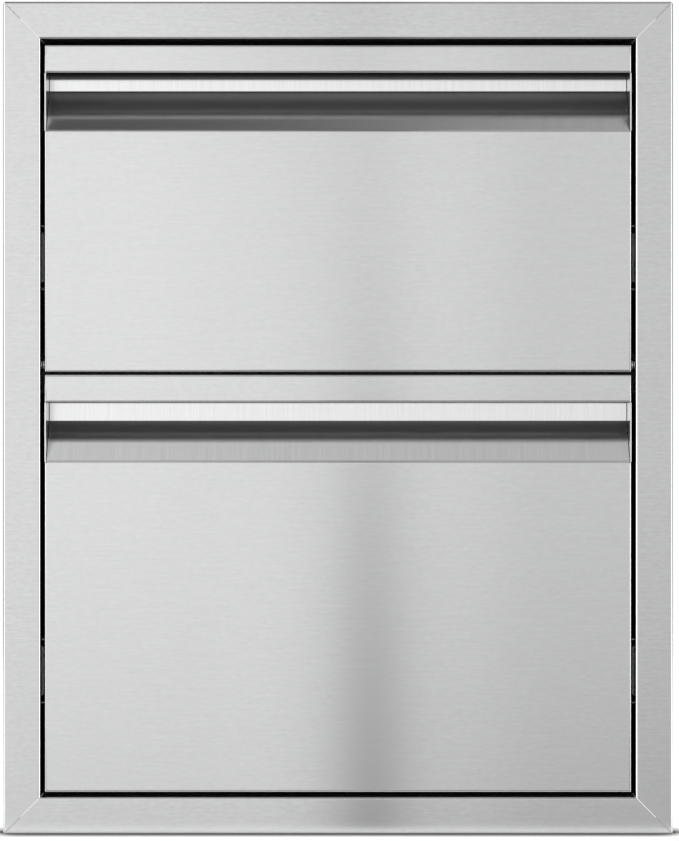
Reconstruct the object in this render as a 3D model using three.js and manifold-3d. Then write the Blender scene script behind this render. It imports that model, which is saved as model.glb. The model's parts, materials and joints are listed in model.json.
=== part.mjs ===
// Built-in double drawer for an outdoor kitchen: a mitred face frame, a folded steel cabinet behind it
// and two drawers with full-width recessed pulls, on full-extension ball slides.
// Millimetres, X to the right, Y backwards into the island, Z up.
// The origin is the middle of the bottom rail's seating hem, on the plane of the island's face.

import * as THREE from "three";
import { mergeVertices } from "three/addons/utils/BufferGeometryUtils.js";
import Module from "manifold-3d";

const wasm = await Module();
wasm.setup();

// Gaps between pieces
const seatGap = 0.3; // between pieces that are fixed to each other
const runGap = 0.3; // between pieces that slide past each other
const overrun = 5; // how far a cutting tool runs past what it cuts

// Face frame
const frameWidth = 457;
const frameHeight = 568;
const railWidth = 25.7;
const frameSheet = 1;
const frameBend = 0.8; // inner radius of a fold
const standOff = 12; // from the island's face to the frame's face
const returnDepth = 12; // how far the inner return runs behind the island's face
const hemWidth = 10;
const frameCornerRadius = 2.6; // ground round the frame's four outer corners
const mitreGap = 0.3;

// Drawer fronts
const frontSheet = 1;
const frontBend = 0.8;
const frontDepth = 26;
const frontEdgeRadius = 1.6; // round the front's two upright edges
const sideReveal = 2.7;
const topReveal = 3.8;
const splitReveal = 1.5;
const bottomReveal = 3;
const upperFrontHeight = 223.3;
const bandHeight = 18.8;
const lipBend = 0.15; // inside the tight fold at the band's lower edge, which turns up behind it
const gripHeight = 9; // room for fingertips, behind the band and above its lower edge
const upperRecessHeight = 40.4; // under the band
const upperRecessBackHeight = 10.4;
const lowerRecessHeight = 41.4;
const lowerRecessBackHeight = 12.8;
const recessSlopeAngle = (35.6 * Math.PI) / 180; // from upright
const linerSheet = 1;

// Drawer tubs
const tubSheet = 1;
const tubBend = 0.8;
const tubHem = 8;
const tubFlange = 15;
const upperTubHeadroom = 49; // from the tub's top to its front's top
const lowerTubHeadroom = 27.5;
const tubLift = 18; // from a front's bottom edge to its tub's floor
const tubPastSlide = 4; // how far the tub runs past each end of its slides
const tubBackInset = 8;

// Ball slides
const slideLength = 450;
const slideHeight = 45;
const slideThickness = 12.7;
const slideSheet = 1.2;
const slideLipStep = 1.1;
const slideRise = 62; // from a tub's floor to the middle of its slides
const ballDiameter = 3.4;
const cageSheet = 0.4;
const cageLength = 200;
const cageStart = 122; // from a slide's front end to its cages
const cageFlange = 6;
const cageBallMargin = 16; // from a cage's end to its first ball
const cageBallsPerRow = 3;

// Cabinet
const cabinetSheet = 1;
const cabinetBend = 0.8;
const cabinetLap = 11; // how far the cabinet laps over the frame's inner return
const cabinetFlange = 12;
const rearFlange = 15;
const rearClearance = 24; // behind a closed drawer's tub
const islandHoleRadius = 3;
const islandHoleSetback = 40; // from the island's face
const islandHoleInset = 90; // from the cabinet's top and bottom

// Middle rail
const middleRailHeight = 30;
const middleRailDepth = 30;

// Fasteners and bumpers
const screwRadius = 2;
const screwReach = 2.5; // past the last sheet that a screw holds
const slideScrewHeadRadius = 3.7;
const slideScrewInset = 37; // from a slide's ends
const frameScrewHeadRadius = 4.1;
const frameScrewHead = 1.3;
const frameScrewSetback = 5; // behind the island's face
const frameScrewRise = 6; // above the middle of the gap between the fronts
const frontScrewHeadRadius = 3.8;
const frontScrewHead = 2;
const frontScrewRise = 62; // above a tub's floor
const driveRadius = 1.3;
const driveDepth = 0.6;
const bumperRadius = 5;
const bumperThickness = 2;
const bumperStemRadius = 2;
const bumperStemLength = 3;
const bumperInset = 60; // from a front's sides

// Facets
const bendSteps = 4;
const roundSegments = 12;
const ballSegments = 6;
const ballRings = 4;

// Where things come, worked out from the sizes above
const faceY = -standOff;
const linerBackY = faceY + frontDepth;
const bumperSeatY = linerBackY + seatGap;
const middleRailY = bumperSeatY + bumperThickness + runGap;
const tubFrontY = linerBackY + seatGap;
const slideFrontY = tubFrontY + tubPastSlide;
const tubLength = slideLength + 2 * tubPastSlide;
const tubRearY = tubFrontY + tubLength;
const cabinetFrontY = returnDepth - cabinetLap;
const cabinetRearY = tubRearY + rearClearance;

const openingBottom = railWidth;
const openingTop = frameHeight - railWidth;
const openingHalf = frameWidth / 2 - railWidth;
const cabinetInnerHalf = openingHalf + frameSheet + seatGap;
const cabinetOuterHalf = cabinetInnerHalf + cabinetSheet;
const cabinetBottom = openingBottom - frameSheet - seatGap - cabinetSheet;
const cabinetTop = openingTop + frameSheet + seatGap + cabinetSheet;
const slideOuterX = cabinetInnerHalf - seatGap;
const tubHalf = slideOuterX - slideThickness - seatGap;

const frontHalf = openingHalf - sideReveal;
const upperFrontTop = openingTop - topReveal;
const upperFrontBottom = upperFrontTop - upperFrontHeight;
const lowerFrontTop = upperFrontBottom - splitReveal;
const lowerFrontBottom = openingBottom + bottomReveal;
const splitMiddle = (upperFrontBottom + lowerFrontTop) / 2;

// Solids
function solid(geometry) {
  const bare = geometry.clone();
  bare.deleteAttribute("normal");
  bare.deleteAttribute("uv");
  const merged = mergeVertices(bare);
  const triVerts = new Uint32Array(merged.index.array);
  const vertProperties = merged.attributes.position.array;
  return new wasm.Manifold(new wasm.Mesh({ numProp: 3, vertProperties, triVerts }));
}

function geometryOf(body) {
  const { numProp, vertProperties, triVerts } = body.getMesh();
  const geometry = new THREE.BufferGeometry();
  geometry.setAttribute("position", new THREE.BufferAttribute(vertProperties, numProp));
  geometry.setIndex(new THREE.BufferAttribute(triVerts, 1));
  geometry.computeVertexNormals();
  return geometry;
}

// A box between two values on each axis
function block([x0, x1], [y0, y1], [z0, z1]) {
  const box = new THREE.BoxGeometry(x1 - x0, y1 - y0, z1 - z0);
  return solid(box.translate((x0 + x1) / 2, (y0 + y1) / 2, (z0 + z1) / 2));
}

// The directions that a section's two axes and its length take, by the axis it is extruded along
const X = new THREE.Vector3(1, 0, 0);
const Y = new THREE.Vector3(0, 1, 0);
const Z = new THREE.Vector3(0, 0, 1);
const extrudeBasis = {
  x: new THREE.Matrix4().makeBasis(Y, Z, X),
  y: new THREE.Matrix4().makeBasis(X, Z, Y.clone().negate()),
  z: new THREE.Matrix4().makeBasis(X, Y, Z),
};

function extrusion(section, axis, start, end) {
  const options = { depth: end - start, bevelEnabled: false, curveSegments: bendSteps };
  const geometry = new THREE.ExtrudeGeometry(section, options);
  geometry.applyMatrix4(extrudeBasis[axis]);
  const shift = { x: [start, 0, 0], y: [0, end, 0], z: [0, 0, start] }[axis];
  return geometry.translate(...shift);
}

// The two faces of a folded sheet. The corners lie on the near face, and the sheet is on their left.
// A corner may hold a bend radius of its own after its place.
function foldedFaces(corners, sheet, bend) {
  const near = [];
  const far = [];
  const points = corners.map(([u, v]) => new THREE.Vector2(u, v));
  const bends = corners.map(([, , ownBend]) => ownBend ?? bend);
  const normals = points.slice(1).map((point, i) => {
    const along = point.clone().sub(points[i]).normalize();
    return new THREE.Vector2(-along.y, along.x);
  });
  points.forEach((point, i) => {
    const before = normals[i - 1] ?? normals[i];
    const after = normals[i] ?? before;
    const turn = Math.atan2(before.cross(after), before.dot(after));
    const side = Math.sign(turn);
    const nearRadius = side > 0 ? bends[i] + sheet : bends[i];
    const reach = (side * nearRadius) / (1 + before.dot(after));
    const centre = before.clone().add(after).multiplyScalar(reach).add(point);
    const steps = side === 0 ? 0 : bendSteps;
    for (let step = 0; step <= steps; step++) {
      const share = steps ? step / steps : 0;
      const normal = before.clone().rotateAround(new THREE.Vector2(), turn * share);
      const onNear = centre.clone().addScaledVector(normal, -side * nearRadius);
      near.push(onNear);
      far.push(onNear.clone().addScaledVector(normal, sheet));
    }
  });
  return { near, far };
}

function foldedSection(corners, sheet, bend) {
  const { near, far } = foldedFaces(corners, sheet, bend);
  return new THREE.Shape([...near, ...far.reverse()]);
}

// What is cut away to round off a section's corner at u, v. The corner points the way of sideU and sideV.
function cornerWaste(u, v, sideU, sideV, radius) {
  const arcU = u - sideU * radius;
  const arcV = v - sideV * radius;
  const section = new THREE.Shape();
  const firstAngle = (sideV * Math.PI) / 2;
  const lastAngle = sideU > 0 ? 0 : sideV * Math.PI;
  section.absarc(arcU, arcV, radius, firstAngle, lastAngle, sideU === sideV);
  section.lineTo(u + sideU * overrun, arcV);
  section.lineTo(u + sideU * overrun, v + sideV * overrun);
  section.lineTo(arcU, v + sideV * overrun);
  return section;
}

// A turned piece along an axis, from [radius, distance along it] corners that start and end on it
const turnedRotation = { x: [0, 0, -Math.PI / 2], y: [0, 0, 0] };

function turned(corners, axis, x, y, z, segments = roundSegments) {
  const outline = corners.map(([radius, along]) => new THREE.Vector2(radius, along));
  const geometry = new THREE.LatheGeometry(outline, segments);
  const turn = new THREE.Matrix4().makeRotationFromEuler(new THREE.Euler(...turnedRotation[axis]));
  return solid(geometry.applyMatrix4(turn).translate(x, y, z));
}

function rod(radius, axis, [start, end], across) {
  const corners = [[0, start], [radius, start], [radius, end], [0, end]];
  return turned(corners, axis, ...across);
}

function joined(bodies) {
  return bodies.reduce((whole, body) => whole.add(body));
}

function cut(body, tools) {
  return tools.reduce((rest, tool) => rest.subtract(tool), body);
}

// Finishes
const finishes = {
  brushedSteel: { color: 0xc4c5c6, roughness: 0.32, metalness: 1 },
  satinSteel: { color: 0xb2b4b6, roughness: 0.45, metalness: 1 },
  zincSteel: { color: 0xa9adb2, roughness: 0.4, metalness: 1 },
  ballSteel: { color: 0xd0d2d4, roughness: 0.2, metalness: 1 },
  screwSteel: { color: 0xcacccd, roughness: 0.25, metalness: 1 },
  rubber: { color: 0x2b2b2c, roughness: 0.85, metalness: 0 },
};

const assembly = new THREE.Group();
assembly.position.z = -hemWidth / 2;

function piece(name, body, finish) {
  const mesh = new THREE.Mesh(geometryOf(body), new THREE.MeshStandardMaterial(finishes[finish]));
  mesh.name = name;
  assembly.add(mesh);
  return mesh;
}

// The two sides of the object. A piece made for the right-hand side is mirrored to the left.
const sides = [["left", -1], ["right", 1]];

function sidePiece([sideName, side], owner, part, body, finish) {
  const mesh = piece(`${owner}_${sideName}_${part}`, body, finish);
  mesh.scale.x = side;
  return mesh;
}

// Fasteners and their holes
const screwHoleRadius = screwRadius + seatGap;

// A countersunk screw from the cabinet's inside, its head flush in the slide's web, on the right-hand side
function slideScrew(y, z) {
  const corners = [
    [0, driveDepth - slideSheet],
    [driveRadius, driveDepth - slideSheet],
    [driveRadius, -slideSheet],
    [slideScrewHeadRadius, -slideSheet],
    [screwRadius, 0],
    [screwRadius, seatGap + cabinetSheet + screwReach],
    [0, seatGap + cabinetSheet + screwReach],
  ];
  return turned(corners, "x", slideOuterX, y, z);
}

function slideScrewSink(y, z) {
  const corners = [
    [0, -slideSheet],
    [slideScrewHeadRadius + seatGap, -slideSheet],
    [screwHoleRadius, 0],
    [screwHoleRadius, overrun],
    [0, overrun],
  ];
  return turned(corners, "x", slideOuterX, y, z);
}

// A low-head screw through the frame's inner return and the cabinet, on the right-hand side
const frameScrewZ = splitMiddle + frameScrewRise;

function frameScrew() {
  const tip = frameSheet + seatGap + cabinetSheet + screwReach;
  const top = -seatGap - frameScrewHead;
  const corners = [
    [0, top + driveDepth],
    [driveRadius, top + driveDepth],
    [driveRadius, top],
    [frameScrewHeadRadius - driveDepth, top],
    [frameScrewHeadRadius, top + driveDepth],
    [frameScrewHeadRadius, -seatGap],
    [screwRadius, -seatGap],
    [screwRadius, tip],
    [0, tip],
  ];
  return turned(corners, "x", openingHalf, frameScrewSetback, frameScrewZ, 2 * roundSegments);
}

// A screw from inside the tub into the front, on the right-hand side
const frontScrewX = tubHalf - tubFlange / 2;

function frontScrew(z) {
  const seat = tubSheet + seatGap;
  const top = seat + frontScrewHead;
  const tip = -seatGap - linerSheet - screwReach;
  const corners = [
    [0, tip],
    [screwRadius, tip],
    [screwRadius, seat],
    [frontScrewHeadRadius, seat],
    [frontScrewHeadRadius, top - driveDepth],
    [frontScrewHeadRadius - driveDepth, top],
    [driveRadius, top],
    [driveRadius, top - driveDepth],
    [0, top - driveDepth],
  ];
  return turned(corners, "y", frontScrewX, tubFrontY, z);
}

const bumperX = frontHalf - bumperInset;
const bumperFromSplit = (middleRailHeight / 2 + splitReveal / 2) / 2;

function bumper(z) {
  const crown = bumperThickness / 2;
  const corners = [
    [0, -seatGap - bumperStemLength],
    [bumperStemRadius, -seatGap - bumperStemLength],
    [bumperStemRadius, 0],
    [bumperRadius, 0],
    [bumperRadius, crown],
    [bumperRadius - crown, bumperThickness],
    [0, bumperThickness],
  ];
  return turned(corners, "y", bumperX, bumperSeatY, z);
}

// Face frame: one folded rail section, mitred at both ends and turned round the opening
const railSection = foldedSection(
  [
    [hemWidth, 0],
    [0, 0],
    [0, faceY],
    [railWidth, faceY],
    [railWidth, returnDepth],
  ],
  frameSheet,
  frameBend,
);

function mitredRail(halfLength, turn, x, z) {
  const geometry = new THREE.ExtrudeGeometry(railSection, { depth: 1, bevelEnabled: false });
  const pullBack = mitreGap / Math.SQRT2;
  const place = geometry.attributes.position;
  for (let i = 0; i < place.count; i++) {
    const inwards = place.getX(i);
    const end = Math.sign(1 / 2 - place.getZ(i));
    place.setXYZ(i, end * (halfLength - inwards - pullBack), place.getY(i), inwards);
  }
  return solid(geometry.rotateY(turn).translate(x, 0, z));
}

const frameCorners = [-1, 1].flatMap((sideX) =>
  [-1, 1].map((sideZ) => {
    const cornerZ = ((1 + sideZ) / 2) * frameHeight;
    const section = cornerWaste((sideX * frameWidth) / 2, cornerZ, sideX, sideZ, frameCornerRadius);
    return solid(extrusion(section, "y", faceY - overrun, returnDepth + overrun));
  }),
);

const frameScrewPassage = [openingHalf - overrun, cabinetOuterHalf + overrun];
const frameScrewHole = rod(screwHoleRadius, "x", frameScrewPassage, [0, frameScrewSetback, frameScrewZ]);

function makeFrame() {
  const halfWidth = frameWidth / 2;
  const halfHeight = frameHeight / 2;
  const bottom = mitredRail(halfWidth, 0, 0, 0);
  const top = mitredRail(halfWidth, Math.PI, 0, frameHeight);
  const stile = mitredRail(halfHeight, -Math.PI / 2, halfWidth, halfHeight);
  piece("frame_bottom_rail", cut(bottom, frameCorners), "brushedSteel");
  piece("frame_top_rail", cut(top, frameCorners), "brushedSteel");
  const drilledStile = cut(stile, [...frameCorners, frameScrewHole]);
  for (const side of sides) {
    sidePiece(side, "frame", "stile", drilledStile, "brushedSteel");
    sidePiece(side, "frame", "screw", frameScrew(), "screwSteel");
  }
}

// Cabinet: two sides with rear flanges, a floor and a roof folded up and down at their sides, and a back
function slideScrewPlaces(slideZ) {
  const first = slideFrontY + slideScrewInset;
  const last = slideFrontY + slideLength - slideScrewInset;
  return [["front", first, slideZ], ["rear", last, slideZ]];
}

function cabinetSide() {
  const section = foldedSection(
    [
      [cabinetOuterHalf, cabinetFrontY],
      [cabinetOuterHalf, cabinetRearY],
      [cabinetOuterHalf - rearFlange, cabinetRearY],
    ],
    cabinetSheet,
    cabinetBend,
  );
  const through = [cabinetInnerHalf - overrun, cabinetOuterHalf + overrun];
  const slideHoles = drawers.flatMap(({ slideZ }) => slideScrewPlaces(slideZ));
  const islandHoles = [cabinetBottom + islandHoleInset, cabinetTop - islandHoleInset];
  return cut(solid(extrusion(section, "z", cabinetBottom, cabinetTop)), [
    frameScrewHole,
    ...slideHoles.map(([, y, z]) => rod(screwHoleRadius, "x", through, [0, y, z])),
    ...islandHoles.map((z) => rod(islandHoleRadius, "x", through, [0, islandHoleSetback, z])),
  ]);
}

// The floor or the roof. The side flanges start behind the frame's inner return.
function cabinetTray(outerZ, flangeZ) {
  const half = cabinetInnerHalf - seatGap;
  const up = Math.sign(flangeZ - outerZ);
  const section = foldedSection(
    [
      [-half * up, flangeZ],
      [-half * up, outerZ],
      [half * up, outerZ],
      [half * up, flangeZ],
    ],
    cabinetSheet,
    cabinetBend,
  );
  const tray = extrusion(section, "y", cabinetFrontY, cabinetRearY - cabinetSheet - seatGap);
  const innerZ = outerZ + up * cabinetSheet;
  const notchZ = [innerZ, flangeZ + up * overrun].sort((a, b) => a - b);
  const notchY = [cabinetFrontY - overrun, returnDepth + seatGap];
  return solid(tray).subtract(block([-half - overrun, half + overrun], notchY, notchZ));
}

function makeCabinet() {
  const side = cabinetSide();
  for (const place of sides) sidePiece(place, "cabinet", "side", side, "satinSteel");
  const floor = cabinetTray(cabinetBottom, cabinetBottom + cabinetFlange);
  const roof = cabinetTray(cabinetTop, cabinetTop - cabinetFlange);
  piece("cabinet_floor", floor, "satinSteel");
  piece("cabinet_roof", roof, "satinSteel");
  const backY = cabinetRearY + seatGap;
  const across = [-cabinetOuterHalf, cabinetOuterHalf];
  const back = block(across, [backY, backY + cabinetSheet], [cabinetBottom, cabinetTop]);
  piece("cabinet_back", back, "satinSteel");

  const railTop = splitMiddle + middleRailHeight / 2;
  const railBottom = splitMiddle - middleRailHeight / 2;
  const railSheet = foldedSection(
    [
      [middleRailY + middleRailDepth, railTop],
      [middleRailY, railTop],
      [middleRailY, railBottom],
      [middleRailY + middleRailDepth, railBottom],
    ],
    cabinetSheet,
    cabinetBend,
  );
  const railHalf = cabinetInnerHalf - seatGap;
  piece("middle_rail", solid(extrusion(railSheet, "x", -railHalf, railHalf)), "satinSteel");
}

// Drawer front: one sheet folded round the top, the band's lip, the pull recess, the face and the bottom,
// with side flanges
const lipY = faceY + 2 * (frontSheet + lipBend) + seatGap;

function frontLevels({ frontBottom, frontTop, recessHeight, recessBackHeight }) {
  const recessTop = frontTop - bandHeight;
  const gripTop = recessTop + gripHeight;
  const recessBackBottom = recessTop - recessBackHeight;
  const recessBottom = recessTop - recessHeight;
  const recessY = faceY + (recessBackBottom - recessBottom) * Math.tan(recessSlopeAngle);
  return { frontBottom, recessBottom, recessBackBottom, recessTop, gripTop, frontTop, recessY };
}

function frontCornerWaste(side, drawer) {
  const section = cornerWaste(side * frontHalf, faceY, side, -1, frontEdgeRadius);
  return solid(extrusion(section, "z", drawer.frontBottom - overrun, drawer.frontTop + overrun));
}

function frontSkin(drawer) {
  const levels = frontLevels(drawer);
  const { frontBottom, recessBottom, recessBackBottom, recessTop, gripTop, frontTop, recessY } = levels;
  const rearY = linerBackY + overrun;
  const corners = [
    [rearY, frontTop],
    [faceY, frontTop],
    [faceY, recessTop, lipBend],
    [lipY, recessTop, lipBend],
    [lipY, gripTop],
    [recessY, gripTop],
    [recessY, recessBackBottom],
    [faceY, recessBottom],
    [faceY, frontBottom],
    [rearY, frontBottom],
  ];
  const { near, far } = foldedFaces(corners, frontSheet, frontBend);
  const innerHalf = frontHalf - frontSheet;
  const outside = solid(extrusion(new THREE.Shape(near), "x", -frontHalf, frontHalf));
  const inside = solid(extrusion(new THREE.Shape(far), "x", -innerHalf, innerHalf));
  const behind = block([-frontHalf - overrun, frontHalf + overrun], [linerBackY, rearY + overrun], [
    frontBottom - overrun,
    frontTop + overrun,
  ]);
  const ends = sides.flatMap(([, side]) => {
    const endX = [innerHalf - seatGap, frontHalf + overrun].map((x) => side * x).sort((a, b) => a - b);
    const recess = block(endX, [faceY - overrun, rearY + overrun], [recessBottom, recessTop]);
    const grip = block(endX, [lipY, rearY + overrun], [recessBottom, gripTop + frontSheet + seatGap]);
    return [recess, grip, frontCornerWaste(side, drawer)];
  });
  return cut(outside, [inside, behind, ...ends]);
}

// The plate that closes a recess, and the grip above it, at the right-hand side
function pullEnd(drawer) {
  const { recessBottom, recessTop, gripTop } = frontLevels(drawer);
  const across = [frontHalf - frontSheet, frontHalf];
  const bottom = recessBottom + seatGap;
  const recess = block(across, [faceY, linerBackY], [bottom, recessTop - seatGap]);
  const grip = block(across, [lipY + seatGap, linerBackY], [bottom, gripTop + frontSheet]);
  return joined([recess, grip]);
}

function frontLiner(drawer) {
  const inset = frontSheet + seatGap;
  const half = frontHalf - inset;
  const height = [drawer.frontBottom + inset, drawer.frontTop - inset];
  const sheet = block([-half, half], [linerBackY - linerSheet, linerBackY], height);
  const through = [linerBackY - linerSheet - overrun, linerBackY + overrun];
  const stemHole = bumperStemRadius + seatGap;
  const holes = sides.flatMap(([, side]) => [
    rod(screwHoleRadius, "y", through, [side * frontScrewX, 0, drawer.frontScrewZ]),
    rod(stemHole, "y", through, [side * bumperX, 0, drawer.bumperZ]),
  ]);
  return cut(sheet, holes);
}

// Drawer tub: floor and sides folded from one sheet, with hemmed tops and front flanges, and a back
function tub(drawer) {
  const section = foldedSection(
    [
      [tubHem - tubHalf, drawer.tubTop],
      [-tubHalf, drawer.tubTop],
      [-tubHalf, drawer.tubBottom],
      [tubHalf, drawer.tubBottom],
      [tubHalf, drawer.tubTop],
      [tubHalf - tubHem, drawer.tubTop],
    ],
    tubSheet,
    tubBend,
  );
  const trough = solid(extrusion(section, "y", tubFrontY, tubRearY));
  const flangeY = [tubFrontY, tubFrontY + tubSheet];
  const height = [drawer.tubBottom, drawer.tubTop];
  const right = block([tubHalf - tubFlange, tubHalf], flangeY, height);
  const left = block([-tubHalf, tubFlange - tubHalf], flangeY, height);
  const through = [tubFrontY - overrun, tubFrontY + overrun];
  const holes = sides.map(([, side]) =>
    rod(screwHoleRadius, "y", through, [side * frontScrewX, 0, drawer.frontScrewZ]),
  );
  return cut(joined([trough, right, left]), holes);
}

function tubBack(drawer) {
  const inset = tubSheet + seatGap;
  const backY = tubRearY - tubBackInset;
  const top = drawer.tubTop - inset;
  const section = foldedSection(
    [
      [tubRearY, top],
      [backY, top],
      [backY, drawer.tubBottom + inset],
    ],
    tubSheet,
    tubBend,
  );
  return solid(extrusion(section, "x", inset - tubHalf, tubHalf - inset));
}

// Ball slide on the right-hand side: three nested channels, with a ball cage between each two
const ballRadius = ballDiameter / 2;
const ballGap = ballDiameter + 2 * runGap;
const cageSpace = cageSheet + 2 * runGap;
const ballX = slideOuterX - slideThickness / 2;
const outerWebX = slideOuterX;
const middleWebX = outerWebX - slideSheet - cageSpace;
const innerLipX = middleWebX - slideSheet - cageSpace;
const innerWebX = slideOuterX - slideThickness;
const middleLipX = innerWebX + slideLipStep;
const outerLipX = middleLipX + slideLipStep;
const middleHeight = slideHeight - 2 * (slideSheet + ballGap);
const innerHeight = middleHeight - 2 * (slideSheet + ballGap);

function channel(webX, lipX, height, sheet, start, end) {
  const up = (Math.sign(webX - lipX) * height) / 2;
  const corners = [[lipX, -up], [webX, -up], [webX, up], [lipX, up]];
  return solid(extrusion(foldedSection(corners, sheet, sheet / 2), "y", start, end));
}

function slideMember(webX, lipX, height) {
  return channel(webX, lipX, height, slideSheet, slideFrontY, slideFrontY + slideLength);
}

function ballCage(webX, aroundHeight) {
  const ballZ = (aroundHeight + ballGap) / 2;
  const start = slideFrontY + cageStart;
  const lipX = ballX - cageFlange / 2;
  const strip = channel(webX, lipX, 2 * ballZ + cageSheet, cageSheet, start, start + cageLength);
  const step = (cageLength - 2 * cageBallMargin) / (cageBallsPerRow - 1);
  const balls = [];
  for (let i = 0; i < cageBallsPerRow; i++) {
    for (const z of [-ballZ, ballZ]) {
      const ball = new THREE.SphereGeometry(ballRadius, ballSegments, ballRings);
      balls.push(solid(ball.translate(ballX, start + cageBallMargin + i * step, z)));
    }
  }
  return joined([strip, ...balls]);
}

function makeSlides(drawer) {
  const screws = slideScrewPlaces(0);
  const sinks = screws.map(([, y, z]) => slideScrewSink(y, z));
  const parts = [
    ["slide_outer", cut(slideMember(outerWebX, outerLipX, slideHeight), sinks), "zincSteel"],
    ["slide_middle", slideMember(middleWebX, middleLipX, middleHeight), "zincSteel"],
    ["slide_inner", slideMember(innerWebX, innerLipX, innerHeight), "zincSteel"],
    ["outer_ball_cage", ballCage(outerWebX - slideSheet - runGap, middleHeight), "ballSteel"],
    ["inner_ball_cage", ballCage(middleWebX - slideSheet - runGap, innerHeight), "ballSteel"],
    ...screws.map(([end, y, z]) => [`slide_${end}_screw`, slideScrew(y, z), "screwSteel"]),
  ];
  for (const side of sides) {
    for (const [part, body, finish] of parts) {
      sidePiece(side, drawer.name, part, body, finish).position.z = drawer.slideZ;
    }
  }
}

// The two drawers
function drawerPlaces(name, frontBottom, frontTop, recess, tubHeadroom, bumperZ) {
  const tubBottom = frontBottom + tubLift;
  return {
    name,
    frontBottom,
    frontTop,
    ...recess,
    tubBottom,
    tubTop: frontTop - tubHeadroom,
    slideZ: tubBottom + slideRise,
    frontScrewZ: tubBottom + frontScrewRise,
    bumperZ,
  };
}

const drawers = [
  drawerPlaces(
    "upper",
    upperFrontBottom,
    upperFrontTop,
    { recessHeight: upperRecessHeight, recessBackHeight: upperRecessBackHeight },
    upperTubHeadroom,
    splitMiddle + bumperFromSplit,
  ),
  drawerPlaces(
    "lower",
    lowerFrontBottom,
    lowerFrontTop,
    { recessHeight: lowerRecessHeight, recessBackHeight: lowerRecessBackHeight },
    lowerTubHeadroom,
    splitMiddle - bumperFromSplit,
  ),
];

function makeDrawer(drawer) {
  piece(`${drawer.name}_front_skin`, frontSkin(drawer), "brushedSteel");
  piece(`${drawer.name}_front_liner`, frontLiner(drawer), "satinSteel");
  piece(`${drawer.name}_tub`, tub(drawer), "satinSteel");
  piece(`${drawer.name}_tub_back`, tubBack(drawer), "satinSteel");
  for (const side of sides) {
    sidePiece(side, drawer.name, "pull_end", pullEnd(drawer), "brushedSteel");
    sidePiece(side, drawer.name, "front_screw", frontScrew(drawer.frontScrewZ), "screwSteel");
    sidePiece(side, drawer.name, "bumper", bumper(drawer.bumperZ), "rubber");
  }
}

makeFrame();
makeCabinet();
for (const drawer of drawers) {
  makeDrawer(drawer);
  makeSlides(drawer);
}

const unit = new THREE.Group();
unit.add(assembly);
export default unit;
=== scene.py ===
# Looks of the built-in double drawer for an outdoor kitchen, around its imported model.
# Metres, X to the right, Y backwards into the island, Z up.

import json
import math

import bmesh
import bpy
from mathutils import Matrix, Vector


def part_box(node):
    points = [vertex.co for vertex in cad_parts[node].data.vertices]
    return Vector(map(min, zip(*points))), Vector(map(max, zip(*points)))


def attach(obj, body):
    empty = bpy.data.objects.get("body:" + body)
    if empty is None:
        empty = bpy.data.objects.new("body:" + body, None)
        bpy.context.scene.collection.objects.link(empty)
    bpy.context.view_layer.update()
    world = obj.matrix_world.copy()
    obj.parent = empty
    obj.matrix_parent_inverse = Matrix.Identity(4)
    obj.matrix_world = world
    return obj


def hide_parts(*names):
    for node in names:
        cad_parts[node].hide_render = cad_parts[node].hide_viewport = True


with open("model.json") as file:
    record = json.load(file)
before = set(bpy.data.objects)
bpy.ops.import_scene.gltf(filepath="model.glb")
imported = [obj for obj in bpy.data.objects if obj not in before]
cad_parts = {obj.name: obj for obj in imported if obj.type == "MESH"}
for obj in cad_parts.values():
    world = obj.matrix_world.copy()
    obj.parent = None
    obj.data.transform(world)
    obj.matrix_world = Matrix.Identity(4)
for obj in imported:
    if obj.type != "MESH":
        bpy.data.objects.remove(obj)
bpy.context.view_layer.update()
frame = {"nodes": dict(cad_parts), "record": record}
nodes = frame["nodes"]

MM = 0.001

DRAWERS = ("upper", "lower")
SIDES = (("left", -1), ("right", 1))

# Places read from the frame
FACE_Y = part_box("upper_front_skin")[0].y
FRAME_LOW, FRAME_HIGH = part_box("frame_left_stile")[0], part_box("frame_right_stile")[1]
RECESS_Z = [[corner.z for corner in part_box(f"{name}_left_pull_end")] for name in DRAWERS]
BODY_OF = {node: body for body, members in frame["record"]["behaviour"]["bodies"].items() for node in members}

# Camera
PHOTO_HEIGHT = 841  # pixels
CAMERA_DISTANCE = 1.76  # from the frame's face
METRES_A_PIXEL = 0.6816 * MM  # at the frame's face
SENSOR_WIDTH = 36  # covers the picture's longer side, its height
OBJECT_LEFT_PIXELS = 1.5  # how far the frame's middle is to the left of the picture's
OBJECT_UP_PIXELS = 2.5  # and above it


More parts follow.
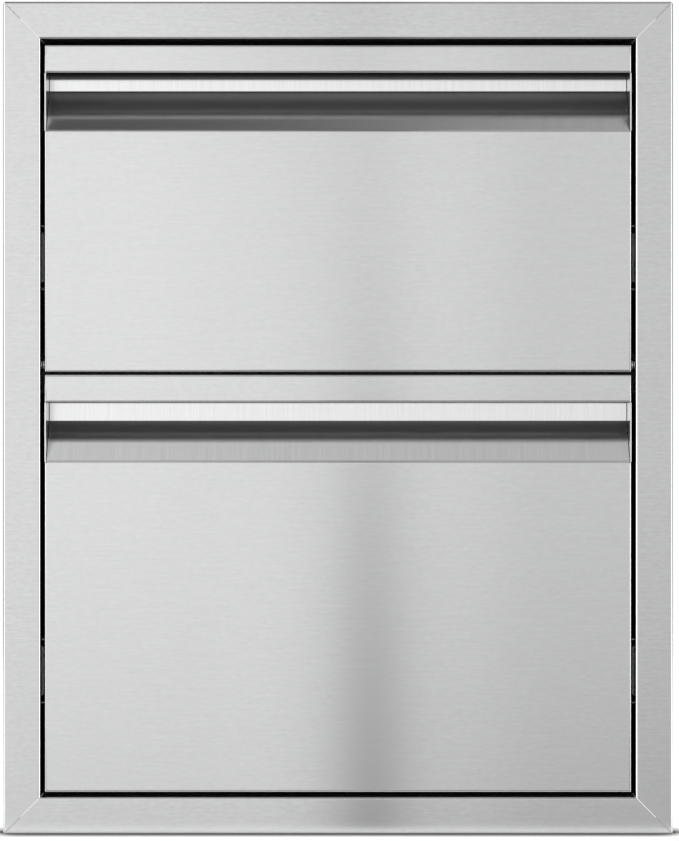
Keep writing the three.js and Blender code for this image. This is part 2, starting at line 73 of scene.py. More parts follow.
class Shader:
    """Writes a node tree as nested calls. A value is a number, a colour, a vector or a node's output."""

    def __init__(self, tree):
        self.tree = tree
        tree.nodes.clear()

    def node(self, kind, inputs=(), output=0, **settings):
        node = self.tree.nodes.new(kind)
        for name, setting in settings.items():
            setattr(node, name, setting)
        for key, value in (inputs.items() if isinstance(inputs, dict) else enumerate(inputs)):
            self.feed(node.inputs[key], value)
        return node.outputs[output] if node.outputs else node

    def feed(self, socket, value):
        if isinstance(value, bpy.types.NodeSocket):
            self.tree.links.new(value, socket)
        else:
            socket.default_value = value

    def math(self, operation, *values):
        return self.node("ShaderNodeMath", dict(enumerate(values)), operation=operation)

    def product(self, *values):
        whole = values[0]
        for value in values[1:]:
            whole = self.math("MULTIPLY", whole, value)
        return whole

    def vector(self, operation, *values):
        return self.node("ShaderNodeVectorMath", dict(enumerate(values)), operation=operation)

    def step(self, value, start, end, low=0.0, high=1.0):
        """A smooth step from low to high as value goes from start to end."""
        inputs = {"Value": value, 1: start, 2: end, 3: low, 4: high}
        return self.node("ShaderNodeMapRange", inputs, interpolation_type="SMOOTHSTEP")

    def bell(self, value, middle, width):
        """1 where value is at the middle, and less to both sides of it, down to 0."""
        off = self.math("SUBTRACT", value, middle)
        return self.math("EXPONENT", self.product(off, off, -1 / (2 * width**2)))

    def mix(self, share, first, second, kind="FLOAT"):
        a, b, output = {"FLOAT": (2, 3, 0), "VECTOR": (4, 5, 1), "RGBA": (6, 7, 2)}[kind]
        inputs = {0: share, a: first, b: second}
        return self.node("ShaderNodeMix", inputs, output, data_type=kind)

    def levels(self, value, start, end, stops):
        """Levels along value, a smooth curve through (value, level) stops."""
        share = self.node("ShaderNodeMapRange", {"Value": value, 1: start, 2: end})
        ramp = self.node("ShaderNodeValToRGB", {0: share})
        band = ramp.node.color_ramp
        band.interpolation = "EASE"
        while len(band.elements) < len(stops):
            band.elements.new(1.0)
        for element, (place, level) in zip(band.elements, stops):
            element.position = (place - start) / (end - start)
            element.color = (level, level, level, 1)
        return ramp

    def split(self, vector):
        return self.node("ShaderNodeSeparateXYZ", {0: vector}).node.outputs

    def noise(self, place, scale, stretch, detail, roughness=0.5):
        """Noise with so many features to a metre, times a share on each axis."""
        scaled = self.vector("MULTIPLY", place, [scale * share for share in stretch])
        inputs = {"Vector": scaled, "Scale": 1.0, "Detail": detail, "Roughness": roughness}
        return self.node("ShaderNodeTexNoise", inputs)


def placed(name, data):
    """A new object with the data, in the scene."""
    thing = bpy.data.objects.new(name, data)
    bpy.context.scene.collection.objects.link(thing)
    return thing


# Light: a world that is white for the camera and behind the object, and a studio in front of it and above.
# A place in it is a direction's x, y or z, each from -1 to 1.
FRONT_ACROSS = [  # the front wall's light by x
    (-0.3, 1.07), (-0.08, 1.03), (-0.045, 0.965), (-0.012, 0.915),
    (0.03, 0.94), (0.05, 0.91), (0.075, 0.82), (0.3, 0.84),
]
FRONT_ALONG = [  # and by z
    (-1, 0.35), (-0.42, 0.4), (-0.26, 0.5), (-0.15, 0.95),
    (-0.05, 1.15), (0.2, 1.18), (0.5, 0.6), (0.94, 0.8),
]
FRONT_REACH = 0.3  # the x they change over
FRONT_TILT = 0.22  # how much the levels by z rise to the right
DARK_BAND = {"middle": 0.012, "width": 0.008}  # by x
BAND_BELOW, BAND_ABOVE = (-0.2, 0.1, 0.74, 0.03), (0.2, 0.35, 0.0, 0.25)  # how dark it is, by z
PALE_BAND = {"middle": -0.024, "width": 0.022}  # beside it
PALE_BELOW = (0.12, -0.25, 0.0, 0.2)
SHADE_ABOVE, SHADE_RIGHT = (0.1, 0.3), (-0.08, 0.0, 0.0, 0.12)

PANEL_LIGHT, PANEL_START = 1.12, (0.3, 0.45)  # a light panel at each side
STRIP_LIGHT, STRIP_START = 3.0, (0.76, 0.84)  # a lamp farther out, for the bright lines along bends
LAMP_HEIGHT = (0.5, 0.8, 1.0, 0.2)  # how both get weaker upwards and downwards

FLAG_LIGHT = 0.028  # a dark screen beside and above the object
FLAG_START, FLAG_END = (-0.1, 0.0), (0.86, 0.96)
FLAG_FOOT = (-0.6, -0.45)
FLAG_LEAD = (0.3, 0.6, 0.15, 0.0)  # how far forward it reaches, beside the object only

OVERHEAD_HEIGHT = (0.8, 0.9)  # a panel above, which the slopes of the recesses show
OVERHEAD_FRONT, OVERHEAD_SKEW = (-0.3, -0.25), 0.12
OVERHEAD_LIGHT = (0.025, 0.045, 0.06, 0.48)  # dark on the left, light on the right


def front_light(shader, x, z):
    """The wall of light in front of the object, with a dark band that shows in the lower front."""
    across = shader.levels(x, -FRONT_REACH, FRONT_REACH, FRONT_ACROSS)
    near = shader.node("ShaderNodeClamp", {0: x, 1: -FRONT_REACH, 2: FRONT_REACH})
    tilt = shader.product(near, FRONT_TILT)
    along = shader.levels(shader.math("SUBTRACT", z, tilt), -1, 1, FRONT_ALONG)
    band_depth = shader.math("ADD", shader.step(z, *BAND_BELOW), shader.step(z, *BAND_ABOVE))
    band = shader.math("SUBTRACT", 1.0, shader.product(band_depth, shader.bell(x, **DARK_BAND)))
    lift = shader.product(shader.step(z, *PALE_BELOW), shader.bell(x, **PALE_BAND))
    shade = shader.product(shader.step(z, *SHADE_ABOVE), shader.step(x, *SHADE_RIGHT))
    shape = shader.product(shader.math("ADD", 1.0, lift), shader.math("SUBTRACT", 1.0, shade))
    return shader.product(across, along, band, shape)


def make_world():
    world = bpy.data.worlds.new("studio")
    bpy.context.scene.world = world
    world.use_nodes = True
    shader = Shader(world.node_tree)
    x, y, z = shader.split(shader.node("ShaderNodeTexCoord"))

    height, wide = shader.math("ABSOLUTE", z), shader.math("ABSOLUTE", x)
    level = shader.step(height, *LAMP_HEIGHT)
    panels = shader.product(shader.step(wide, *PANEL_START), level)
    strips = shader.product(shader.step(wide, *STRIP_START), level)
    front = shader.mix(panels, front_light(shader, x, z), PANEL_LIGHT)
    front = shader.mix(strips, front, STRIP_LIGHT)

    flag_start = shader.step(shader.math("ADD", y, shader.step(height, *FLAG_LEAD)), *FLAG_START)
    flag_end = shader.step(y, *FLAG_END)
    flag = shader.product(flag_start, shader.math("SUBTRACT", 1.0, flag_end), shader.step(z, *FLAG_FOOT))
    behind = shader.mix(shader.step(y, 0.0, 0.4), front, 1.0)
    around = shader.mix(flag, behind, FLAG_LIGHT)

    edge = shader.math("SUBTRACT", y, shader.product(x, OVERHEAD_SKEW))
    overhead = shader.product(shader.step(z, *OVERHEAD_HEIGHT), shader.step(edge, *OVERHEAD_FRONT))
    studio = shader.mix(overhead, around, shader.step(x, *OVERHEAD_LIGHT))

    rays = shader.node("ShaderNodeLightPath").node.outputs
    seen = shader.math("MAXIMUM", rays["Is Glossy Ray"], rays["Is Transmission Ray"])
    background = shader.math("MAXIMUM", rays["Is Camera Ray"], shader.product(seen, flag_end))
    light = shader.mix(background, studio, 1.0)
    surface = shader.node("ShaderNodeBackground", {"Color": light, "Strength": 1.0})
    shader.node("ShaderNodeOutputWorld", {"Surface": surface})


FLOOR_Z = FRAME_LOW.z
FLOOR_CORNERS = ((-1.2, -0.035), (1.2, 1.3))  # from just in front of the frame
FLOOR_FADE = 0.012
FLOOR_PALE = 0.92
FLOOR_GLOW = 0.75
CONTACT_SHADOW = 20 * MM  # how far the object darkens the floor
CONTACT_POWER = 5.0  # how fast that shadow fades, as the camera sees it


def make_floor():
    (left, front), (right, back) = FLOOR_CORNERS
    bpy.ops.mesh.primitive_plane_add(size=1, location=((left + right) / 2, (front + back) / 2, FLOOR_Z))
    floor = bpy.context.object
    floor.name = "floor"
    floor.scale = (right - left, back - front, 1)
    material = bpy.data.materials.new("floor")
    material.use_nodes = True
    shader = Shader(material.node_tree)
    rays = shader.node("ShaderNodeLightPath").node.outputs
    open_sky = shader.node("ShaderNodeAmbientOcclusion", {"Distance": CONTACT_SHADOW}, output=1)
    bare = shader.math("POWER", open_sky, shader.mix(rays["Is Camera Ray"], 1.0, CONTACT_POWER))
    pale = shader.node("ShaderNodeCombineXYZ", [shader.product(bare, FLOOR_PALE)] * 3)
    matte = shader.node("ShaderNodeBsdfDiffuse", {"Color": pale})
    seen = shader.math("MAXIMUM", rays["Is Camera Ray"], rays["Is Glossy Ray"])
    seen = shader.product(shader.math("MAXIMUM", seen, rays["Is Transmission Ray"]), bare)
    strength = shader.product(seen, FLOOR_GLOW)
    glow = shader.node("ShaderNodeEmission", {"Color": (1, 1, 1, 1), "Strength": strength})
    shown = shader.node("ShaderNodeAddShader", {0: matte, 1: glow})
    x, y, z = shader.split(shader.node("ShaderNodeNewGeometry"))
    inside = 1.0
    for value, low, high in ((x, left, right), (y, front, back)):
        inside = shader.product(shader.step(value, low, low + FLOOR_FADE), inside)
        inside = shader.product(shader.step(value, high - FLOOR_FADE, high, 1, 0), inside)
    clear = shader.node("ShaderNodeBsdfTransparent")
    surface = shader.node("ShaderNodeMixShader", {0: inside, 1: clear, 2: shown})
    shader.node("ShaderNodeOutputMaterial", {"Surface": surface})
    floor.data.materials.append(material)


def make_camera():
    data = bpy.data.cameras.new("camera")
    data.sensor_width = SENSOR_WIDTH
    data.lens = SENSOR_WIDTH * CAMERA_DISTANCE / (PHOTO_HEIGHT * METRES_A_PIXEL)
    camera = placed("camera", data)
    middle = (FRAME_LOW + FRAME_HIGH) / 2
    x = middle.x + OBJECT_LEFT_PIXELS * METRES_A_PIXEL
    z = middle.z - OBJECT_UP_PIXELS * METRES_A_PIXEL
    camera.location = (x, FACE_Y - CAMERA_DISTANCE, z)
    camera.rotation_euler = (math.pi / 2, 0, 0)
    bpy.context.scene.camera = camera


# Finishes
def start_material(name):
    material = bpy.data.materials.new(name)
    material.use_nodes = True
    shader = Shader(material.node_tree)
    place = shader.node("ShaderNodeTexCoord", output=3)
    return material, shader, place


def finish_material(shader, inputs, height, depth, tangent=None):
    """Steel or rubber with these inputs, and a relief of the given height, depth metres deep."""
    relief = {"Height": height, "Distance": depth, "Strength": 1.0}
    inputs["Normal"] = shader.node("ShaderNodeBump", relief)
    if tangent:
        inputs["Tangent"] = tangent
    surface = shader.node("ShaderNodeBsdfPrincipled", inputs)
    shader.node("ShaderNodeOutputMaterial", {"Surface": surface})


def grain_tangent(shader, grain):
    """The direction across a grain, on every face that isn't square to it."""
    normal = shader.node("ShaderNodeNewGeometry", output=1)
    across = shader.vector("CROSS_PRODUCT", normal, grain)
    return shader.vector("ADD", across, (0.0, 0.001, 0.002))


# Noises of the brushed steel: features to a metre, times a share on each axis, and the detail
FINE_GRAIN = (1400, (0.02, 1, 1), 3.0)
STREAKS = (560, (0.4, 1, 1), 2.0)
CLOUDS = (9, (1, 1, 1), 2.0)
CROSS_GRAIN = (1100, (1, 0.02, 0.02), 3.0)
STREAK_SHARE = 0.55  # of the grain, the rest of it fine
CLOUD_CONTRAST = 0.02
GRAIN_HEIGHT = 0.0012 * MM
STEEL_TINT = (1, 1.003, 1.007)
DARK_SHARE = 0.45  # how dark the grain's darkest lines are
PLAIN_TONE = 0.1  # how far the tone between its lines is towards them
STEEL_ROUGH, GRAIN_ROUGH = 0.125, 0.03

# The front's recesses
RECESS_MARGIN = 1.5 * MM
RECESS_CONTRAST = 0.3  # how strongly the grain shows there
RECESS_PALE = 0.8  # its steel is paler than the front's face
RECESS_ROUGH = 0.03  # rougher by this
RECESS_ONE_WAY = 0.8  # and its reflections less drawn out by the grain
SLOPE_GRAIN = (0, 0.62, 0.78)  # the way it runs there
GRIP = {"upper": 12.5 * MM, "lower": 10.8 * MM}  # from a pull end's top to the lower edge of the dull finish and its painted shade
GRIP_SHADE = 4 * MM  # above that edge, over which the painted shade on the back wall deepens
BACK_WALL = (16 * MM, 17 * MM)  # depths between which the back wall starts
# painted shade: the colour of the back wall's upper part behind the band, darkened to stand for the shade
# there
PAINTED_WALL_SHADE = 0.07
DULL_ROUGH = 0.6
ROOM_DEPTH = 20 * MM
PAINTED_ROOM_SHADE = [(0, 0.8), (3 * MM, 0.8), (5 * MM, 0.26), (9 * MM, 0.17), (15 * MM, 0.33)]  # painted shade on the dull steel, darker with depth behind the band


def recess_masks(shader, y, z):
    """Where a recess is, where its finish is dull with shade painted on it, and where the painted shade on
    its back wall deepens behind the band.
    """
    inside = dull_and_painted_shade = shade = 0.0
    for drawer, (low, high) in zip(DRAWERS, RECESS_Z):
        grip = high - GRIP[drawer]
        above = shader.math("GREATER_THAN", z, low - RECESS_MARGIN)
        below = shader.math("LESS_THAN", z, high + RECESS_MARGIN)
        inside = shader.math("ADD", inside, shader.product(above, below))
        gripped = shader.step(z, grip - 0.1 * MM, grip + 0.5 * MM)
        dull_and_painted_shade = shader.math("ADD", dull_and_painted_shade, shader.product(gripped, below))
        shaded = shader.step(z, grip, grip + GRIP_SHADE)
        shade = shader.math("ADD", shade, shader.product(shaded, below))
    recess = shader.product(shader.step(y, FACE_Y + 0.5 * MM, FACE_Y + 1.6 * MM), inside)
    dull_and_painted_shade = shader.product(dull_and_painted_shade, shader.step(y, FACE_Y + 0.2 * MM, FACE_Y + 0.8 * MM))
    return recess, dull_and_painted_shade, shade


def painted_room_shade(shader, y, shade):
    """The dull steel behind a front's band, with painted shade: darker with depth, and darkest on the back
    wall's upper part.
    """
    depth = shader.math("SUBTRACT", y, FACE_Y)
    depth_shade = shader.levels(depth, 0, ROOM_DEPTH, PAINTED_ROOM_SHADE)
    return shader.mix(shader.product(shade, shader.step(depth, *BACK_WALL)), depth_shade, PAINTED_WALL_SHADE)


def brushed_steel(name, pale, contrast, with_recess=False):
    """Steel brushed from side to side. A front's recess is brushed up and down, and dull behind its band,
    where shade is painted into its colour.
    """
    material, shader, place = start_material(name)
    x, y, z = shader.split(place)
    tangent = grain_tangent(shader, (1, 0, 0))
    grain = shader.mix(STREAK_SHARE, shader.noise(place, *FINE_GRAIN), shader.noise(place, *STREAKS))
    if with_recess:
        recess, dull_and_painted_shade, shade = recess_masks(shader, y, z)
        tangent = shader.mix(recess, tangent, grain_tangent(shader, SLOPE_GRAIN), "VECTOR")
        grain = shader.mix(recess, grain, shader.noise(place, *CROSS_GRAIN))
        contrast = shader.mix(recess, contrast, RECESS_CONTRAST)
        pale = shader.mix(recess, pale, RECESS_PALE)
    streaks = shader.product(shader.math("SUBTRACT", grain, 0.5), contrast)
    tone = shader.math("ADD", streaks, shader.product(shader.noise(place, *CLOUDS), CLOUD_CONTRAST))
    tone = shader.math("ADD", tone, PLAIN_TONE)
    bright = shader.node("ShaderNodeCombineXYZ", [shader.product(pale, share) for share in STEEL_TINT])
    dark = shader.vector("MULTIPLY", bright, [DARK_SHARE] * 3)
    colour = shader.mix(tone, bright, dark, "RGBA")
    roughness = shader.math("ADD", STEEL_ROUGH, shader.product(grain, GRAIN_ROUGH))
    one_way = 1.0
    if with_recess:
        # painted shade: the dull steel behind the band takes the darkened colour, while its roughness marks
        # the real dull finish
        colour = shader.mix(dull_and_painted_shade, colour, painted_room_shade(shader, y, shade), "RGBA")
        roughness = shader.math("ADD", roughness, shader.product(recess, RECESS_ROUGH))
        roughness = shader.mix(dull_and_painted_shade, roughness, DULL_ROUGH)
        one_way = shader.mix(dull_and_painted_shade, shader.mix(recess, 1.0, RECESS_ONE_WAY), 1.0)
    inputs = {"Base Color": colour, "Metallic": 1.0, "Roughness": roughness, "Anisotropic": one_way}
    finish_material(shader, inputs, grain, GRAIN_HEIGHT, tangent)
    return material


def facing_y(shader):
    """How squarely a face looks along Y, from 0 to 1."""
    normal = shader.node("ShaderNodeNewGeometry", output=1)
    return shader.math("ABSOLUTE", shader.split(normal)[1])


WELD_MARK_PITCH = 58 * MM  # between spot welds along a seam
WELD_MARK_RADIUS = 2.8 * MM
WELD_MARK_RIM = 0.8 * MM
SEAM_INSET = 7.5 * MM  # from the back's upright edges to the welds


def weld_marks(shader, place):
    """Rings where spot welds hold the cabinet's back to the flanges of its sides."""
    x, y, z = shader.split(place)
    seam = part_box("cabinet_back")[1].x - SEAM_INSET
    from_seam = shader.math("SUBTRACT", shader.math("ABSOLUTE", x), seam)
    along = shader.math("FLOORED_MODULO", z, WELD_MARK_PITCH)
    from_mark = shader.math("SUBTRACT", along, WELD_MARK_PITCH / 2)
    offset = shader.node("ShaderNodeCombineXYZ", [from_seam, from_mark, 0.0])
    distance = shader.node("ShaderNodeVectorMath", {0: offset}, 1, operation="LENGTH")
    off_rim = shader.math("SUBTRACT", distance, WELD_MARK_RADIUS)
    rim = shader.step(shader.math("ABSOLUTE", off_rim), 0, WELD_MARK_RIM, 1, 0)
    middle = shader.step(off_rim, -0.5 * WELD_MARK_RIM, 0, 0.4, 0)
    flat = shader.math("GREATER_THAN", facing_y(shader), 0.9)
    return shader.product(shader.math("MAXIMUM", rim, middle), flat)


SHEET_CLOUDS = (12, (1, 1, 1), 3.0)
MOTTLE_CONTRAST, CLOUD_DARK, WELD_MARK_DARK = 0.06, 0.1, 0.6
ALONG_SHEET, ACROSS_SHEET = (520, (1, 0.03, 1), 3.0), (520, (0.03, 1, 1), 3.0)  # lines from the rolls
SHEET_DARK_SHARE = 0.55
CLOUD_ROUGH = 0.08


def plain_steel(name, colour, rough, grain_scale, depth, rolled=0.0, welded=False):
    """Unpolished steel: fine mottle and cloudy tone, and on sheets, lines from the rolls and weld marks."""
    material, shader, place = start_material(name)
    mottle = shader.noise(place, grain_scale, (1, 1, 1), 4.0, 0.6)
    cloud = shader.noise(place, *SHEET_CLOUDS)
    tone = shader.math("ADD", shader.product(mottle, MOTTLE_CONTRAST), shader.product(cloud, CLOUD_DARK))
    if rolled:
        upright = shader.step(facing_y(shader), 0.6, 0.8)
        lines = shader.mix(upright, shader.noise(place, *ALONG_SHEET), shader.noise(place, *ACROSS_SHEET))
        tone = shader.math("ADD", tone, shader.product(shader.math("SUBTRACT", lines, 0.5), rolled))
    if welded:
        tone = shader.math("ADD", tone, shader.product(weld_marks(shader, place), WELD_MARK_DARK))
    dark = [SHEET_DARK_SHARE * share for share in colour]
    tinted = shader.mix(tone, (*colour, 1), (*dark, 1), "RGBA")
    roughness = shader.math("ADD", rough, shader.product(cloud, CLOUD_ROUGH))
    inputs = {"Base Color": tinted, "Metallic": 1.0, "Roughness": roughness}
    finish_material(shader, inputs, mottle, depth)
    return material


def rubber():
    material, shader, place = start_material("rubber")
    speckle = shader.noise(place, 2500, (1, 1, 1), 3.0)
    colour = shader.mix(speckle, (0.018, 0.018, 0.018, 1), (0.035, 0.035, 0.036, 1), "RGBA")
    roughness = shader.math("ADD", 0.7, shader.product(speckle, 0.2))
    finish_material(shader, {"Base Color": colour, "Roughness": roughness}, speckle, 0.02 * MM)
    return material


SATIN = (0.52, 0.525, 0.53)


def make_finishes():
    return {
        "front": brushed_steel("brushed_front", 0.69, 0.24, with_recess=True),
        "brushed_steel": brushed_steel("brushed_steel", 0.655, 0.4),
        "satin_steel": plain_steel("satin_steel", SATIN, 0.4, 900, 0.004 * MM, rolled=0.5),
        "cabinet": plain_steel("cabinet_steel", SATIN, 0.42, 900, 0.004 * MM, rolled=0.5, welded=True),
        # painted shade: a near-black steel for the middle rail, standing for the shade in the gap between the
        # fronts
        "painted_shade_steel": plain_steel("painted_shade_steel", (0.16, 0.16, 0.165), 0.6, 600, 0.01 * MM),
        "zinc_steel": plain_steel("zinc_steel", (0.5, 0.52, 0.545), 0.36, 350, 0.006 * MM),
        "ball_steel": plain_steel("ball_steel", (0.62, 0.625, 0.63), 0.2, 700, 0.002 * MM),
        "screw_steel": plain_steel("screw_steel", (0.62, 0.622, 0.625), 0.25, 800, 0.002 * MM),
        "rubber": rubber(),
    }


# Sheet edges: bends smoothed, and cut edges broken a little
SMOOTH_ANGLE = math.radians(32)
FLAT_ANGLE = math.radians(0.5)
CUT_ANGLE = math.radians(50)
EDGE_BREAK = 0.2 * MM
MERGE_DISTANCE = 0.001 * MM


def smooth_group():
    group = bpy.data.node_groups.new("smooth_bends", "GeometryNodeTree")
    group.interface.new_socket("Geometry", in_out="INPUT", socket_type="NodeSocketGeometry")
    group.interface.new_socket("Geometry", in_out="OUTPUT", socket_type="NodeSocketGeometry")
    tree = Shader(group)
    start = tree.node("NodeGroupInput")
    merged = tree.node("GeometryNodeMergeByDistance", {"Geometry": start, "Distance": MERGE_DISTANCE})
    bare = tree.node("GeometryNodeRemoveAttribute", {"Geometry": merged, "Name": "custom_normal"})
    angle = tree.node("GeometryNodeInputMeshEdgeAngle")
    bend = tree.node("FunctionNodeCompare", {0: angle, 1: SMOOTH_ANGLE}, operation="LESS_THAN")
    edges = tree.node("GeometryNodeSetShadeSmooth", {"Geometry": bare, "Shade Smooth": bend}, domain="EDGE")
    faces = tree.node("GeometryNodeSetShadeSmooth", {"Geometry": edges, "Shade Smooth": True}, domain="FACE")
    tree.node("NodeGroupOutput", {"Geometry": faces})
    return group


def dress_nodes(finishes, smooth):
    # the middle rail takes the dark steel that stands for the shade between the fronts
    special = {f"{name}_front_skin": "front" for name in DRAWERS} | {"middle_rail": "painted_shade_steel"}
    special |= {node: "cabinet" for node in nodes if node.startswith("cabinet_")}
    for part in frame["record"]["subparts"]:
        node = nodes[part["node"]]
        finish = special.get(part["node"], part["material_slot"])
        for slot in node.material_slots:
            slot.material = finishes[finish]
        node.modifiers.new("smooth_bends", "NODES").node_group = smooth
        flat = node.modifiers.new("flat_faces", "DECIMATE")
        flat.decimate_type = "DISSOLVE"
        flat.angle_limit = FLAT_ANGLE
        edge = node.modifiers.new("broken_edges", "BEVEL")
        edge.width = EDGE_BREAK
        edge.segments = 2
        edge.limit_method = "ANGLE"
        edge.angle_limit = CUT_ANGLE
        node.modifiers.new("normals", "WEIGHTED_NORMAL").keep_sharp = True


# Turned pieces, each a closed mesh through rings of points round an axis. A ring is how far along the axis
# it lies, and its radius at an angle.
def circle(radius):
    return lambda angle: radius


def hexagon(half_flats):
    sixth = math.pi / 3
    return lambda angle: half_flats / math.cos(angle % sixth - sixth / 2)


def turned(name, rings, start, direction, segments=24):
    """The rings start with the face that looks back along the direction, which a screw's drive is cut in."""
    direction = Vector(direction)
    across = Vector((0, 0, 1))
    other = direction.cross(across)
    points = []
    for along, radius in rings:
        for step in range(segments):
            angle = 2 * math.pi * step / segments
            spoke = across * math.cos(angle) + other * math.sin(angle)
            points.append(Vector(start) + direction * along + spoke * radius(angle))
    faces = [list(range(segments))[::-1], [len(points) - segments + step for step in range(segments)]]
    for ring in range(len(rings) - 1):
        for step in range(segments):
            here, beside = ring * segments + step, ring * segments + (step + 1) % segments
            faces.append([here, beside, beside + segments, here + segments])
    return new_piece(name, points, faces)


def new_piece(name, points, faces):
    mesh = bpy.data.meshes.new(name)
    mesh.from_pydata([tuple(point) for point in points], [], faces)
    mesh.validate()
    return placed(name, mesh)


def piece_from(name, solid):
    mesh = bpy.data.meshes.new(name)
    solid.to_mesh(mesh)
    solid.free()
    return placed(name, mesh)


def finish_piece(piece, body, slot, finishes, smooth):
    piece.data.materials.append(finishes[slot])
    piece.modifiers.new("smooth_bends", "NODES").node_group = smooth
    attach(piece, body)


THREAD_RADIUS = 2 * MM
THREAD_PITCH = 0.7 * MM
THREAD_DEPTH = 0.36 * MM
THREAD_STEPS = 6  # rings to a turn
THREAD_START = 0.3 * MM  # under the head
SCREW_TIP = 0.5 * MM
SOCKET_HALF = 1.25 * MM  # half the hexagon's width across its flats
SOCKET_DEPTH = 1 * MM
SOCKET_RIM = 1.62 * MM
RIM_DEPTH = 0.25 * MM
RING_GAP = 0.02 * MM  # between two rings where the radius changes at once


def thread_rings(start, end):
    def ring(along):
        def radius(angle):
            share = (along / THREAD_PITCH - angle / (2 * math.pi)) % 1
            return THREAD_RADIUS - THREAD_DEPTH * min(1, 1.4 * abs(2 * share - 1))
        return along, radius

    count = round((end - start) / THREAD_PITCH * THREAD_STEPS)
    return [ring(start + (end - start) * step / count) for step in range(count + 1)]


def screw_rings(head, length):
    """A socket, the head's outline as (along, radius) corners, and a thread to a chamfered tip."""
    under = head[-1][0]
    return [
        (SOCKET_DEPTH, hexagon(SOCKET_HALF * 0.96)),
        (RIM_DEPTH, hexagon(SOCKET_HALF)),
        (0.03 * MM, circle(SOCKET_RIM)),
        *[(along, circle(radius)) for along, radius in head],
        (under + RING_GAP, circle(THREAD_RADIUS - THREAD_DEPTH)),
        *thread_rings(under + THREAD_START, length - SCREW_TIP),
        (length, circle(THREAD_RADIUS - 1.6 * THREAD_DEPTH)),
    ]


def rounded(radius, bend, steps):
    """Corners round the top edge of a head."""
    turns = [math.pi / 2 * step / steps for step in range(steps + 1)]
    return [(bend * (1 - math.cos(turn)), radius - bend * (1 - math.sin(turn))) for turn in turns]


HEAD_BREAK = 0.1 * MM
SUNK_BREAK = 0.08 * MM


def low_head(radius, height):
    return [*rounded(radius, 0.5 * MM, 4), (height - HEAD_BREAK, radius), (height, radius - HEAD_BREAK)]


def pan_head(radius, height):
    return [*rounded(radius, 0.75 * height, 6), (height - HEAD_BREAK, radius), (height, radius - HEAD_BREAK)]


def sunk_head(radius, height):
    return [(0, radius - SUNK_BREAK), (SUNK_BREAK, radius), (2 * SUNK_BREAK, radius), (height, THREAD_RADIUS)]


def make_screws(finishes, smooth):
    kinds = {
        "frame_{side}_screw": (low_head, "x", 1.3 * MM),
        "{drawer}_{side}_front_screw": (pan_head, "y", 2 * MM),
        "{drawer}_{side}_slide_front_screw": (sunk_head, "x", 1.2 * MM),
        "{drawer}_{side}_slide_rear_screw": (sunk_head, "x", 1.2 * MM),
    }
    for pattern, (head, axis, height) in kinds.items():
        for drawer in DRAWERS if "{drawer}" in pattern else DRAWERS[:1]:
            for side_name, side in SIDES:
                node = pattern.format(drawer=drawer, side=side_name)
                low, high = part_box(node)
                middle = (low + high) / 2
                radius = (high.z - low.z) / 2
                if axis == "x":
                    start = (low.x if side > 0 else high.x, middle.y, middle.z)
                    direction, length = (side, 0, 0), high.x - low.x
                else:
                    start, direction, length = (middle.x, high.y, middle.z), (0, -1, 0), high.y - low.y
                piece = turned(f"{node}_turned", screw_rings(head(radius, height), length), start, direction)
                finish_piece(piece, BODY_OF[node], "screw_steel", finishes, smooth)
                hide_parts(node)


BUMPER_CROWN = 1.5 * MM
BUMPER_THICKNESS = 2 * MM
BUMPER_RIM = 0.15 * MM
BUMPER_STEM = 1.7 * MM
BUMPER_BARB = 2 * MM
BARB_START, BARB_TOP = 1.6 * MM, 1.4 * MM  # from the stem's end
BUMPER_DIMPLE = [(0.35 * MM, 0.9 * MM), (0.1 * MM, 1.2 * MM), (0, 1.5 * MM)]


def make_bumpers(finishes, smooth):
    for drawer in DRAWERS:
        for side_name, _ in SIDES:
            node = f"{drawer}_{side_name}_bumper"
            low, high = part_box(node)
            middle = (low + high) / 2
            radius, length = (high.z - low.z) / 2, high.y - low.y
            stem = [
                (BUMPER_THICKNESS - BUMPER_RIM, radius),
                (BUMPER_THICKNESS, radius - BUMPER_RIM),
                (BUMPER_THICKNESS + RING_GAP, BUMPER_STEM),
                (length - BARB_START, BUMPER_STEM),
                (length - BARB_TOP, BUMPER_BARB),
                (length, BUMPER_STEM * 0.75),
            ]
            outline = [*BUMPER_DIMPLE, *rounded(radius, BUMPER_CROWN, 8), *stem]
            rings = [(along, circle(value)) for along, value in outline]
            piece = turned(f"{node}_moulded", rings, (middle.x, high.y, middle.z), (0, -1, 0))
            finish_piece(piece, BODY_OF[node], "rubber", finishes, smooth)
            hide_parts(node)


BALL_RADIUS = 1.7 * MM
BALL_COVER = 0.03 * MM  # how far a round ball covers the frame's faceted one
CAGE_FLANGE = 6 * MM
CAGE_MARGIN = 16 * MM
CAGE_BALLS = 3
COLLAR_RADIUS = 2.15 * MM
COLLAR_WIRE = 0.28 * MM


def make_balls(finishes, smooth):
    """Round balls in the cages, and the rolled collar that holds each."""
    for drawer in DRAWERS:
        for side_name, side in SIDES:
            for ring in ("outer", "inner"):
                node = f"{drawer}_{side_name}_{ring}_ball_cage"
                low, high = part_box(node)
                x = low.x + CAGE_FLANGE / 2 if side > 0 else high.x - CAGE_FLANGE / 2
                ball_mesh, collar_mesh = bmesh.new(), bmesh.new()
                for index in range(CAGE_BALLS):
                    along = low.y + CAGE_MARGIN
                    along += index * (high.y - low.y - 2 * CAGE_MARGIN) / (CAGE_BALLS - 1)
                    for z in (low.z + BALL_RADIUS, high.z - BALL_RADIUS):
                        place = Vector((x, along, z))
                        add_ball(ball_mesh, place, BALL_RADIUS + BALL_COVER)
                        add_torus(collar_mesh, place, COLLAR_RADIUS, COLLAR_WIRE)
                for kind, solid in (("balls", ball_mesh), ("collars", collar_mesh)):
                    piece = piece_from(f"{node}_{kind}", solid)
                    finish_piece(piece, BODY_OF[node], "ball_steel", finishes, smooth)


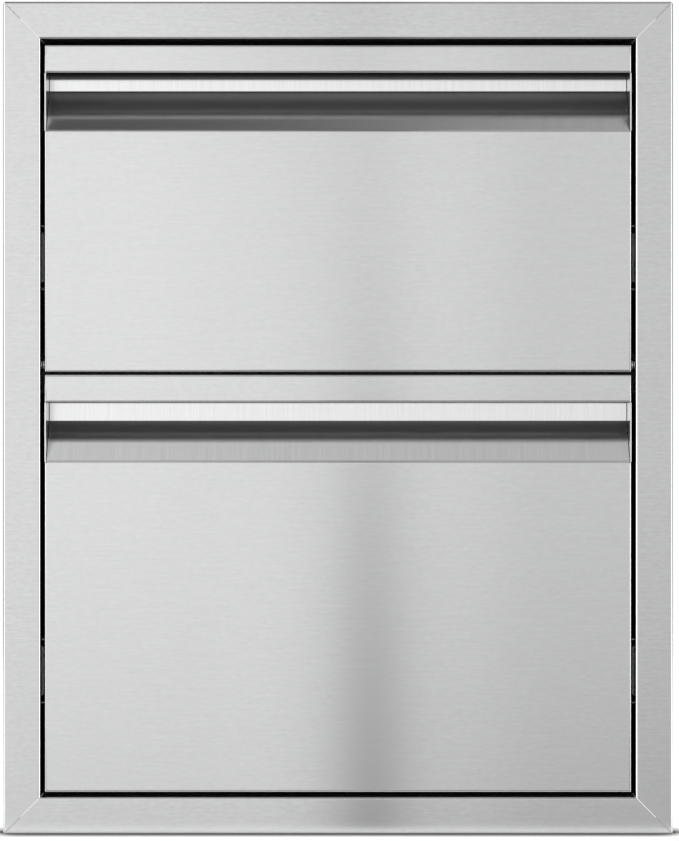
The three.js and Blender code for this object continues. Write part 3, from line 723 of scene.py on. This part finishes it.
def add_ball(solid, middle, radius):
    place = Matrix.Translation(middle)
    bmesh.ops.create_icosphere(solid, subdivisions=4, radius=radius, matrix=place)


def add_torus(solid, middle, radius, wire, turns=32, sides=10):
    """A ring that lies flat, round an upright axis."""
    rows = []
    for turn in range(turns):
        angle = 2 * math.pi * turn / turns
        spoke = Vector((math.cos(angle), math.sin(angle), 0))
        row = []
        for side in range(sides):
            lean = 2 * math.pi * side / sides
            out = spoke * (radius + wire * math.cos(lean)) + Vector((0, 0, wire * math.sin(lean)))
            row.append(solid.verts.new(middle + out))
        rows.append(row)
    for turn in range(turns):
        row, following = rows[turn], rows[(turn + 1) % turns]
        for side in range(sides):
            beside = (side + 1) % sides
            solid.faces.new([row[side], following[side], following[beside], row[beside]])


# Welds that close the face frame's mitres, ground flush
FRAME_CORNERS = (("lower_left", -1, -1), ("lower_right", 1, -1), ("upper_left", -1, 1), ("upper_right", 1, 1))
FRAME_FACE_WIDTH = 25.7 * MM
FRAME_BEND = 1.8 * MM
WELD_HALF = 0.3 * MM
WELD_PROUD = 0.02 * MM
WELD_DEPTH = 0.6 * MM
WELD_SHORT = 1.3 * MM  # the weld stops before the opening's edge
WELD_START = math.radians(60)  # round the outer bend
WELD_STEPS = 8


def weld_path():
    """Places on the frame's section, with their outward normals: how far in from the edge, and along Y."""
    centre_in, centre_y = FRAME_BEND, FACE_Y + FRAME_BEND
    path = []
    for step in range(WELD_STEPS + 1):
        turn = WELD_START + (math.pi / 2 - WELD_START) * step / WELD_STEPS
        out, up = math.cos(turn), math.sin(turn)
        path.append((centre_in - FRAME_BEND * out, centre_y - FRAME_BEND * up, (-out, -up)))
    path.append((FRAME_FACE_WIDTH - FRAME_BEND - WELD_SHORT, FACE_Y, (0, -1)))
    return path


def make_welds(finishes, smooth):
    for corner, side_x, side_z in FRAME_CORNERS:
        edge_x = FRAME_HIGH.x if side_x > 0 else FRAME_LOW.x
        edge_z = FRAME_HIGH.z if side_z > 0 else FRAME_LOW.z
        width = Vector((side_x, 0, -side_z)).normalized() * WELD_HALF
        points = []
        for inwards, y, (out, up) in weld_path():
            for lift in (WELD_PROUD, -WELD_DEPTH):
                deep, back = inwards + out * lift, y + up * lift
                place = Vector((edge_x - side_x * deep, back, edge_z - side_z * deep))
                points += [place - width, place + width]
        rings = len(points) // 4
        faces = [[0, 1, 3, 2], [4 * rings - 4, 4 * rings - 2, 4 * rings - 1, 4 * rings - 3]]
        for ring in range(rings - 1):
            for here, beside in ((0, 2), (2, 3), (3, 1), (1, 0)):
                faces.append([4 * ring + here, 4 * ring + beside, 4 * ring + beside + 4, 4 * ring + here + 4])
        piece = new_piece(f"frame_{corner}_weld", points, faces)
        solid = bmesh.new()
        solid.from_mesh(piece.data)
        bmesh.ops.recalc_face_normals(solid, faces=solid.faces)
        solid.to_mesh(piece.data)
        solid.free()
        finish_piece(piece, "cabinet", "brushed_steel", finishes, smooth)


def main():
    bpy.context.scene.view_settings.view_transform = "Standard"
    make_camera()
    make_world()
    make_floor()
    finishes, smooth = make_finishes(), smooth_group()
    dress_nodes(finishes, smooth)
    make_screws(finishes, smooth)
    make_bumpers(finishes, smooth)
    make_balls(finishes, smooth)
    make_welds(finishes, smooth)


main()
